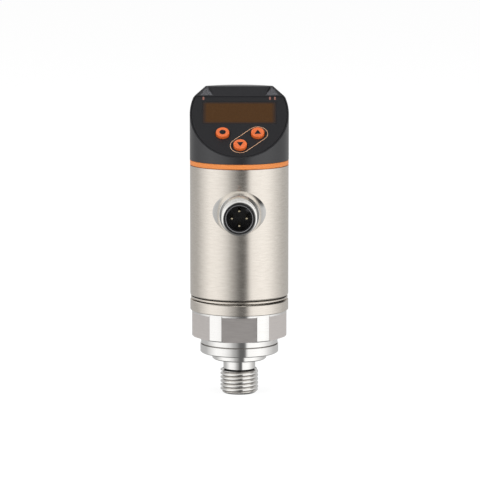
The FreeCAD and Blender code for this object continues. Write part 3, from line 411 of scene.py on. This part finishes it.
# A thin grey ring on the flange's inner edge: a painted highlight round the socket's mouth.
painted_highlight_plastic = surface("black polyamide, painted edge highlight", "#6A6A6C", "#7C7C7E", (0.35, 0.45), size=0.3,
                       bump=0.004)
carrier = turned("contact_carrier", [
    (0, 15), (4.9, 15), (4.9, 30.5), (5.3, 30.5), (5.3, 31.25), (5.15, 31.4), (4.65, 31.4),
    (4.5, 31.25), (4.4, 31.2), (4.4, 23.4), (0, 23.4)], 96)
key = settle(block("key", (3.6, -0.6, 23.2), (4.6, 0.6, 30.5)), (0, 0, 45))
carve(carrier, key, "UNION")
soften(carrier, 0.05)
for material in (painted_light_plastic, rim_plastic, painted_highlight_plastic):
    dress(carrier, material)
for face in carrier.data.polygons:
    radius = face.center.xy.length / MM
    # The flange's faces take the plain black, and a thin ring at its inner edge takes the
    # painted highlight.
    if face.center.z / MM > RIM_FOOT and radius > HIGHLIGHT_FROM:
        face.material_index = 2 if radius < HIGHLIGHT_TO else 1
forward(carrier)
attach(carrier, "housing")
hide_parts("connector_insert")

# Four contacts of the socket: turned nickel silver with a thin gold flash and a round nose.
# They are pressed through the carrier's floor and soldered to the main board.
PITCH_RADIUS = 2.5
# So thin a layer of gold is pale, and keeps the soft shine of the turned pin under it.
flash = surface("gold-flashed nickel silver", "#C9BC9E", "#D6CBB2", (0.2, 0.3),
                grain=(2, 1, 2), bump=0.002, Metallic=1.0)
contact = forward(dress(turned("contact_pin_1", [
    (0, 11.6), (0.5, 11.6), (0.5, 30.2), (0.47, 30.4), (0.4, 30.57), (0.29, 30.7),
    (0.15, 30.78), (0, 30.8)], 32), flash))
places = ((0, PITCH_RADIUS), (-PITCH_RADIUS, 0), (0, -PITCH_RADIUS), (PITCH_RADIUS, 0))
for number, (x, z) in enumerate(places, 1):
    piece = contact.copy()
    piece.data = contact.data.copy()
    bpy.context.collection.objects.link(piece)
    settle(piece, move=(x, 0, z)).name = "contact_%d" % number
    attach(piece, "housing")
    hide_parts("contact_pins")
bpy.data.objects.remove(contact)

# Boards, ribbons and their holder: glass-fibre laminate with black packages, joined by film
# ribbons. The boards slide into a slotted holder of moulded plastic inside the sleeve and the
# head, and none of it shows while the housing is closed.
#
# Solder mask over the weave: green, half glossy and slightly cloudy.
coat(surface("solder-masked glass-fibre laminate", "#1F5B3A", "#2A6E48", (0.3, 0.45),
             size=0.4, bump=0.01), "main_board", "display_board")
# Filled epoxy is a dull black with a sandy grain.
coat(surface("black moulded epoxy", "#1B1B1D", "#29292B", (0.45, 0.6), size=0.1, bump=0.004),
     "board_chips", "tact_switches")
# Polyimide film is a clear amber that shines along its bends.
coat(surface("amber polyimide film", "#B8702A", "#CB8338", (0.25, 0.35), size=0.5, bump=0.003),
     "cell_lead", "display_ribbon")
# A moulding that nobody sees stays plain: mid grey and matt.
coat(surface("grey moulded polyamide", "#55575B", "#62646A", (0.45, 0.6), size=0.2, bump=0.008),
     "board_carrier")
# The lamp's ceramic body is white with a light gloss.
coat(surface("white lamp ceramic", "#E8E6DA", "#F6F4EA", (0.2, 0.35), size=0.2, bump=0.003),
     "status_leds")

# Coloured ring: orange polyamide, moulded and clamped between the sleeve and the head.
# Its two edges are broken, so a fine shadow line runs along each joint.
ring_low, ring_top = (corner.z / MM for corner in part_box("colour_ring"))
orange_ring = turned("orange_ring", [
    (15.5, ring_low), (16.3, ring_low), (16.3, ring_low + 0.14), (16.9, ring_low + 0.2),
    (17, ring_low + 0.3), (17, ring_top - 0.25), (16.95, ring_top - 0.15),
    (16.75, ring_top - 0.05), (16.75, ring_top), (15.5, ring_top)], SPIN_STEPS)
# Dyed in the mass: an even, slightly dusty orange with a satin skin.
dress(orange_ring, surface("orange moulded polyamide", "#DA803B", "#E48C48", (0.38, 0.5),
                           size=0.25, bump=0.004))
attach(orange_ring, "housing")
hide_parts("colour_ring")

# Display head: black polyamide, a moulding with a slanted face and two corner facets.
# Its spigot is pushed into the sleeve, and a thin rim stands round the foil in the face.
TILT = 38.66            # degrees, the face's slope
LEVEL = 85.4            # where the face's plane crosses the axis
CORNER_TILT = 29
CORNER_LEVEL = 87.098
HEAD_RADIUS = 17.048
RECESS_RADIUS = 16.6
RECESS_DEPTH = 0.7
BUTTON_HOLE = 2.6
WINDOW_LOW, WINDOW_TOP = (-12.8, -5.08), (12.8, 5.93)
ROOF_DEPTH = 3.5        # the cavity's roof, below the face
head_low, head_high = (corner.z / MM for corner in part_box("head_housing"))
buttons = {"mode_button": (-5.7, -9.87), "up_button": (6.3, -9.87),
           "down_button": (0.3, -15.62)}


def prism(name, outline, low, high):
    """An outline of (x, y) corners in mm, filled and extruded between two heights."""
    piece = trace(name, [(x, y, low) for x, y in outline])
    bpy.ops.mesh.edge_face_add()
    rise = (0, 0, (high - low) * MM)
    bpy.ops.mesh.extrude_region_move(TRANSFORM_OT_translate={"value": rise})
    bpy.ops.object.mode_set(mode="OBJECT")
    return finish_edit(piece)


def on_face(piece):
    """Lay a piece that was drawn flat onto the head's slanted face."""
    return settle(piece, (TILT, 0, 0), (0, 0, LEVEL))


def on_corner(piece):
    """Lay a piece that was drawn flat onto the plane of the two corner facets."""
    return settle(piece, (CORNER_TILT, 0, 0), (0, 0, CORNER_LEVEL))


def over_face(name, height):
    """A block over the whole slanted face, from a height above its plane."""
    return on_face(block(name, (-30, -40, height), (30, 40, 30)))


def oval(name, radius, low, high, end):
    """A plate that is round when seen from above and ends straight below the brow."""
    piece = turned(name, [(0, low), (radius, low), (radius, high), (0, high)], SPIN_STEPS)
    bpy.ops.object.mode_set(mode="EDIT")
    bpy.ops.mesh.select_all(action="SELECT")
    bpy.ops.transform.resize(value=(1, 1 / math.cos(math.radians(TILT)), 1),
                             center_override=(0, 0, 0))
    bpy.ops.mesh.bisect(plane_co=(0, end * MM, 0), plane_no=(0, 1, 0), use_fill=True,
                        clear_outer=True)
    bpy.ops.object.mode_set(mode="OBJECT")
    return finish_edit(piece)


def open_face(piece):
    """Cut the three button holes down through a piece that lies on the face."""
    for x, y in buttons.values():
        drill = turned("drill", [(0, -7), (BUTTON_HOLE, -7), (BUTTON_HOLE, 2), (0, 2)], 64)
        carve(piece, on_face(settle(drill, move=(x, y, 0))))


head = turned("head_shell", [
    (0, head_low), (15.45, head_low), (15.45, 64.3), (14.65, 64.3), (14.65, 65.8),
    (15.45, 65.8), (15.45, ring_top), (HEAD_RADIUS, ring_top), (HEAD_RADIUS, head_high - 0.5),
    (16.98, head_high - 0.25), (16.8, head_high - 0.07), (16.55, head_high),
    (0, head_high)], SPIN_STEPS)
carve(head, over_face("face", 0))
cavity = turned("cavity", [(0, 55), (13.9, 55), (13.9, 96), (0, 96)], 96)
carve(cavity, over_face("roof", -ROOF_DEPTH))
carve(head, cavity)
# Each corner has a facet with a lamp seat and a guide hole in it, and beside it a flat, turned
# to face its bearing in degrees, that runs out downwards.
side_flat = [(16.5, head_high - 8), (21, head_high - 28), (21, head_high + 3),
             (16.5, head_high + 3)]
for side, bearing in ((-1, 144.3), (1, 35.7)):
    facet = prism("facet", [(side * 9, 7.9), (side * 22, 7.9), (side * 22, 16.9),
                            (side * 11.8, 16.9)], 0, 6)
    carve(head, on_corner(facet))
    carve(head, settle(prism("flat", side_flat, -9, 9), (90, 0, bearing)))
    lamp_seat = prism("lamp_seat", [(side * 9.15, 8.0), (side * 13.55, 8.0),
                                    (side * 11.65, 12.75), (side * 11.05, 12.75)], -1.5, 1)
    carve(head, on_corner(lamp_seat))
    guide_hole = turned("guide_hole", [(0, -5.3), (0.85, -5.3), (0.85, 1), (0, 1)], 32)
    carve(head, on_corner(settle(guide_hole, move=(side * 10.4, 9.65, 0))))
carve(head, on_face(oval("recess", RECESS_RADIUS, -RECESS_DEPTH, 3, 8.35)))
carve(head, on_face(block("window_seat", (*WINDOW_LOW, -1.3), (*WINDOW_TOP, 2))))
carve(head, on_face(block("throat", (-11.15, -4.73, -7), (11.15, 5.58, 2))))
open_face(head)
soften(head, 0.16)
# The mould is etched to a fine grain. It breaks reflections up into a wide soft sheen, with a
# bright line only along the broken edges.
dress(head, surface("black textured polyamide", "#1B1B1E", "#242427", (0.27, 0.35),
                    size=0.12, bump=0.008, detail=4, Specular_IOR_Level=0.8))
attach(head, "housing")
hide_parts("head_housing")

# Face foil: black matt polyester, die-cut round the window and the three buttons.
# It is glued into the head's recess, a little below the rim.
FOIL_RADIUS = 16.38
FOIL_TOP = -0.12
foil = on_face(oval("face_foil", FOIL_RADIUS, -RECESS_DEPTH, FOIL_TOP, 8.25))
carve(foil, on_face(block("opening", (*WINDOW_LOW, -2), (*WINDOW_TOP, 2))))
open_face(foil)
soften(foil, 0.05, 1)
# The foil's etched front is a flat black that mirrors nothing.
dress(foil, surface("black matt polyester foil", "#19191B", "#202023", (0.42, 0.5), size=0.08,
                    bump=0.003))
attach(foil, "housing")
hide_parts("face_panel")

# Print on the foil: a thin outline round the two arrow buttons, one bar and two bars below
# the lamps. It is screen-printed ink, drawn a few hundredths of a millimetre proud.
INK_LOW, INK_TOP = -0.11, -0.07
OUTLINE_RADIUS, OUTLINE_INSIDE = 3.45, 3.32
BAR_HALF_WIDTH = 0.28
BAR_FOOT, BAR_HEAD = 6.75, 8.2
bars = {"one_bar": (-12.4,), "two_bars": (10.6, 12.3)}
# Both inks lie dry and matt on the foil, the outline's pale, the bars' a dull brick red.
pale_ink = surface("pale orange screen ink", "#E8B48C", "#EFC09A", (0.45, 0.55), size=0.3,
                   bump=0.001)
red_ink = surface("dull red screen ink", "#86564A", "#926258", (0.45, 0.55), size=0.3,
                  bump=0.001)


def track(radius, low, high):
    """A flat plate with two round ends, one round each of the two arrow buttons."""
    ends = (buttons["down_button"], buttons["up_button"])
    bearing = math.atan2(ends[1][1] - ends[0][1], ends[1][0] - ends[0][0])
    corners = []
    for (x, y), turn in zip(ends, (90, -90)):
        for step in range(33):
            angle = bearing + math.radians(turn + step * 180 / 32)
            corners.append((x + radius * math.cos(angle), y + radius * math.sin(angle)))
    return prism("button_outline", corners, low, high)


outline = track(OUTLINE_RADIUS, INK_LOW, INK_TOP)
carve(outline, track(OUTLINE_INSIDE, -0.2, 0))
prints = [(outline, pale_ink)]
for name, places in bars.items():
    strips = [block(name, (x - BAR_HALF_WIDTH, BAR_FOOT, INK_LOW),
                    (x + BAR_HALF_WIDTH, BAR_HEAD, INK_TOP)) for x in places]
    for strip in strips[1:]:
        carve(strips[0], strip, "UNION")
    prints.append((soften(strips[0], 0.015, 1), red_ink))
for piece, ink in prints:
    on_face(dress(piece, ink))
    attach(piece, "housing")

# Display window: brown-tinted polycarbonate in front of the digits, glossy and unlit, glued
# into its seat in the head. Towards its edges the brown fades to near black: painted shade,
# standing for the dark surround of the digits behind it.
WINDOW_MIDDLE = 0.42
EDGE_SHADE_ACROSS = (12.75, 11.1)   # from the middle, where the painted shade is full and where it ends
EDGE_SHADE_UP = (5.4, 4.2)
# A hard clear skin over a deep brown: nearly black, and it mirrors bright things sharply.
tint = surface("brown tinted polycarbonate", "#42290F", "#4A3015", (0.1, 0.16), size=0.6,
               bump=0.001)
tree = tint.node_tree
place = add(tree, "TexCoord").outputs["Object"]
place = add(tree, "Mapping", {"Vector": place, "Location": (0, 0, -LEVEL * MM)})
place = add(tree, "Mapping", {"Vector": place.outputs["Vector"],
                              "Rotation": (math.radians(-TILT), 0, 0),
                              "Scale": (1 / MM, 1 / MM, 1 / MM)})
place = add(tree, "SeparateXYZ", {"Vector": place.outputs["Vector"]})
across = add(tree, "Math", {0: place.outputs["X"]}, operation="ABSOLUTE")
across = add(tree, "MapRange", {"Value": across.outputs[0], "From Min": EDGE_SHADE_ACROSS[0],
                                "From Max": EDGE_SHADE_ACROSS[1]})
up = add(tree, "Math", {0: place.outputs["Y"], 1: WINDOW_MIDDLE}, operation="SUBTRACT")
up = add(tree, "Math", {0: up.outputs[0]}, operation="ABSOLUTE")
up = add(tree, "MapRange", {"Value": up.outputs[0], "From Min": EDGE_SHADE_UP[0],
                            "From Max": EDGE_SHADE_UP[1]})
fade = add(tree, "Math", {0: across.outputs["Result"], 1: up.outputs["Result"]},
           operation="MULTIPLY")
base_colour = tree.nodes["Principled BSDF"].inputs["Base Color"]
brown = base_colour.links[0].from_socket
# The brown is mixed towards near black at the edges, as painted shade.
edge_shade = add(tree, "Mix", {"Factor": fade.outputs[0], "A": colour("#232123"), "B": brown},
             data_type="RGBA")
tree.links.new(edge_shade.outputs["Result"], base_colour)
coat(tint, "display_window")
# The digits are off, so their moulded block is only a dull dark brown behind the window.
coat(surface("dark moulded polycarbonate", "#33241A", "#3D2C20", (0.4, 0.5), size=0.3,
             bump=0.004), "display_module")

# Status lamps: smoked polycarbonate light guides with a grained underside.
# Each is clipped into its corner facet from inside the head.
#
# The grain shows through the smoke as cloudy patches, from near black to mid grey.
coat(surface("smoked polycarbonate", "#1A1A1D", "#646469", (0.2, 0.45), size=0.4,
             bump=0.01, detail=5), "led_window_left", "led_window_right")

# Three buttons: orange elastomer caps with a dished top and a flange under the face.
# They are pushed up through their holes from inside, and the dot and the two triangles are
# black inlays, moulded into the dish.
SYMBOL_LOW, SYMBOL_TOP = 0.6, 0.8
# Rubbery plastic: a deeper orange than the ring, with one soft highlight round the dish.
orange = surface("orange button elastomer", "#D5622A", "#E06E35", (0.35, 0.45), size=0.2,
                 bump=0.004)
# The inlay's rubber is a plain dull black.
black = surface("black inlaid elastomer", "#141416", "#1C1C1F", (0.4, 0.5), size=0.1,
                bump=0.002)
cap = dress(turned("cap", [
    (0, -4.3), (2.95, -4.3), (3, -4.25), (3, -3.6), (2.95, -3.55), (2.3, -3.55), (2.3, 0.55),
    (2.27, 0.7), (2.2, 0.8), (2.08, 0.87), (1.95, 0.9), (1.8, 0.89), (1.65, 0.84),
    (1.5, 0.78), (1.3, 0.75), (0, 0.72)], 96), orange)
symbols = {"mode_button": turned("dot", [
    (0, SYMBOL_LOW), (1.08, SYMBOL_LOW), (1.08, SYMBOL_TOP - 0.02), (1.03, SYMBOL_TOP),
    (0, SYMBOL_TOP)], 48)}
for name, sense in (("up_button", 1), ("down_button", -1)):
    arrow = prism("arrow", [(-1.12, -0.88 * sense), (1.12, -0.88 * sense), (0, 1.15 * sense)],
                  SYMBOL_LOW, SYMBOL_TOP)
    symbols[name] = soften(arrow, 0.03, 1)
for name, (x, y) in buttons.items():
    piece = cap.copy()
    piece.data = cap.data.copy()
    bpy.context.collection.objects.link(piece)
    symbol = dress(symbols[name], black)
    for part, label in ((piece, name + "_moulding"), (symbol, name + "_symbol")):
        on_face(settle(part, move=(x, y, 0))).name = label
        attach(part, name + "_cap")
        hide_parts(name)
bpy.data.objects.remove(cap)

# Studio: a white paper floor, walls and screens of light that only gloss mirrors, three soft
# lamps and a camera on the socket's side, one metre away and a little above the part.
FLOOR_GLOW = 0.855      # with the light on it, this brings the paper just to white
bpy.ops.mesh.primitive_plane_add(size=8, location=(0, 0, cad_box[0].z))
floor = bpy.context.object
floor.name = "floor"
floor.visible_glossy = False
# Paper is matt and even: it glows to the camera, and lights the part as plain grey card does.
paper = bpy.data.materials.new("white paper")
paper.use_nodes = True
tree = paper.node_tree
tree.nodes.clear()
light = add(tree, "LightPath")
matt = add(tree, "BsdfDiffuse", {"Color": (0.9, 0.9, 0.9, 1)})
glow = add(tree, "Emission", {"Color": (1, 1, 1, 1), "Strength": FLOOR_GLOW})
dim = add(tree, "BsdfDiffuse", {"Color": (0.22, 0.22, 0.22, 1)})
both = add(tree, "AddShader")
tree.links.new(glow.outputs[0], both.inputs[0])
tree.links.new(dim.outputs[0], both.inputs[1])
mix = add(tree, "MixShader", {0: light.outputs["Is Camera Ray"]})
tree.links.new(matt.outputs[0], mix.inputs[1])
tree.links.new(both.outputs[0], mix.inputs[2])
add(tree, "OutputMaterial", {"Surface": mix.outputs[0]})
floor.data.materials.append(paper)

# The walls are paper of several greys in a ring round the part: (degrees, grey), from 0 at
# the front to 90 on the right. The ring grows dim towards the floor and the zenith.
WALLS = ((-148, 0.42), (-114, 0.44), (-92, 0.7), (-73, 0.92), (-57, 0.92), (-41, 0.84),
         (-27, 0.64), (-18, 0.43), (-10, 0.33), (-3, 0.2), (2, 0.12), (13, 0.11), (18, 0.2),
         (22, 0.65), (27, 0.92), (45, 0.95), (61, 0.98), (78, 0.88), (97, 0.66), (121, 0.48),
         (150, 0.44))
HEIGHTS = ((-0.8, 0.3), (-0.4, 1), (0.3, 1), (0.55, 0.9), (0.82, 0.8), (0.93, 0.22))
WALL_STRENGTH = 1.12
FILL_STRENGTH = 0.55
# One even grey screen hangs above the ring, and one black flag beside it, behind on the right.
SCREEN_GREY = 0.85
SCREEN_FROM, SCREEN_TO = 0.35, 0.55
FLAG_TOWARD = (0.65, 0.33, 0.68)
FLAG_FROM, FLAG_TO, FLAG_SHADE = 0.76, 0.88, 0.08
world = bpy.data.worlds.new("studio")
bpy.context.scene.world = world
world.use_nodes = True
tree = world.node_tree
tree.nodes.clear()
light = add(tree, "LightPath")
toward = add(tree, "TexCoord").outputs["Generated"]
view = add(tree, "SeparateXYZ", {"Vector": toward})
back = add(tree, "Math", {0: view.outputs["Y"], 1: -1.0}, operation="MULTIPLY")
bearing = add(tree, "Math", {0: view.outputs["X"], 1: back.outputs[0]}, operation="ARCTAN2")
bearing = add(tree, "MapRange", {"Value": bearing.outputs[0], "From Min": -math.pi,
                                 "From Max": math.pi})
walls = add(tree, "ValToRGB", {"Fac": bearing.outputs["Result"]})
height = add(tree, "MapRange", {"Value": view.outputs["Z"], "From Min": -1, "From Max": 1})
height = add(tree, "ValToRGB", {"Fac": height.outputs["Result"]})
for ramp, reach, ends, levels in ((walls, 180, (0.5, 0.5), WALLS),
                                  (height, 1, (0.25, 0.2), HEIGHTS)):
    stops = ramp.color_ramp.elements
    for stop, grey in zip(stops, ends):
        stop.color = (grey, grey, grey, 1)
    for place, grey in levels:
        stops.new((place + reach) / (2 * reach)).color = (grey, grey, grey, 1)
screen = add(tree, "MapRange", {"Value": view.outputs["Z"], "From Min": SCREEN_FROM,
                                "From Max": SCREEN_TO})
screen = add(tree, "Mix", {"Factor": screen.outputs["Result"], "A": walls.outputs["Color"],
                           "B": (SCREEN_GREY, SCREEN_GREY, SCREEN_GREY, 1)},
             data_type="RGBA")
flag = add(tree, "VectorMath", {0: toward, 1: FLAG_TOWARD}, operation="DOT_PRODUCT")
flag = add(tree, "MapRange", {"Value": flag.outputs["Value"], "From Min": FLAG_FROM,
                              "From Max": FLAG_TO, "To Min": 1.0, "To Max": FLAG_SHADE})
strength = add(tree, "Math", {0: height.outputs["Color"], 1: WALL_STRENGTH},
               operation="MULTIPLY")
strength = add(tree, "Math", {0: strength.outputs[0], 1: flag.outputs["Result"]},
               operation="MULTIPLY")
room = add(tree, "Background", {"Color": screen.outputs["Result"],
                                "Strength": strength.outputs[0]})
fill = add(tree, "Background", {"Color": (1, 1, 1, 1), "Strength": FILL_STRENGTH})
white = add(tree, "Background", {"Color": (1, 1, 1, 1), "Strength": 1.0})
clear = add(tree, "Math", {0: light.outputs["Is Camera Ray"],
                           1: light.outputs["Is Transmission Ray"]}, operation="MAXIMUM")
mix = add(tree, "MixShader", {0: light.outputs["Is Glossy Ray"]})
tree.links.new(fill.outputs[0], mix.inputs[1])
tree.links.new(room.outputs[0], mix.inputs[2])
last = add(tree, "MixShader", {0: clear.outputs[0]})
tree.links.new(mix.outputs[0], last.inputs[1])
tree.links.new(white.outputs[0], last.inputs[2])
add(tree, "OutputWorld", {"Surface": last.outputs[0]})

# Each lamp is aimed at the part's middle: (name, place in metres, size in metres, watts).
MIDDLE = Vector((0, 0, 0.04))
for name, place, size, power in (("left lamp", (-0.9, -0.7, 0.5), 0.7, 6),
                                 ("right lamp", (0.9, -0.7, 0.5), 0.7, 6),
                                 ("top lamp", (0, 0.1, 1.1), 0.8, 3.5)):
    lamp = bpy.data.lights.new(name, "AREA")
    lamp.size = size
    lamp.energy = power
    piece = bpy.data.objects.new(name, lamp)
    piece.location = place
    piece.rotation_euler = (MIDDLE - Vector(place)).to_track_quat("-Z", "Y").to_euler()
    piece.visible_glossy = False
    bpy.context.collection.objects.link(piece)

camera = bpy.data.cameras.new("camera")
camera.lens = 216.8
camera.sensor_width = 36
LIFT = math.radians(8.2)
DISTANCE = 1.0
AIM = (0.00024, 0, 0.0414)
piece = bpy.data.objects.new("camera", camera)
piece.location = (AIM[0], -DISTANCE * math.cos(LIFT), AIM[2] + DISTANCE * math.sin(LIFT))
piece.rotation_euler = (math.radians(90) - LIFT, 0, 0)
bpy.context.collection.objects.link(piece)
bpy.context.scene.camera = piece
bpy.context.scene.view_settings.view_transform = "Standard"
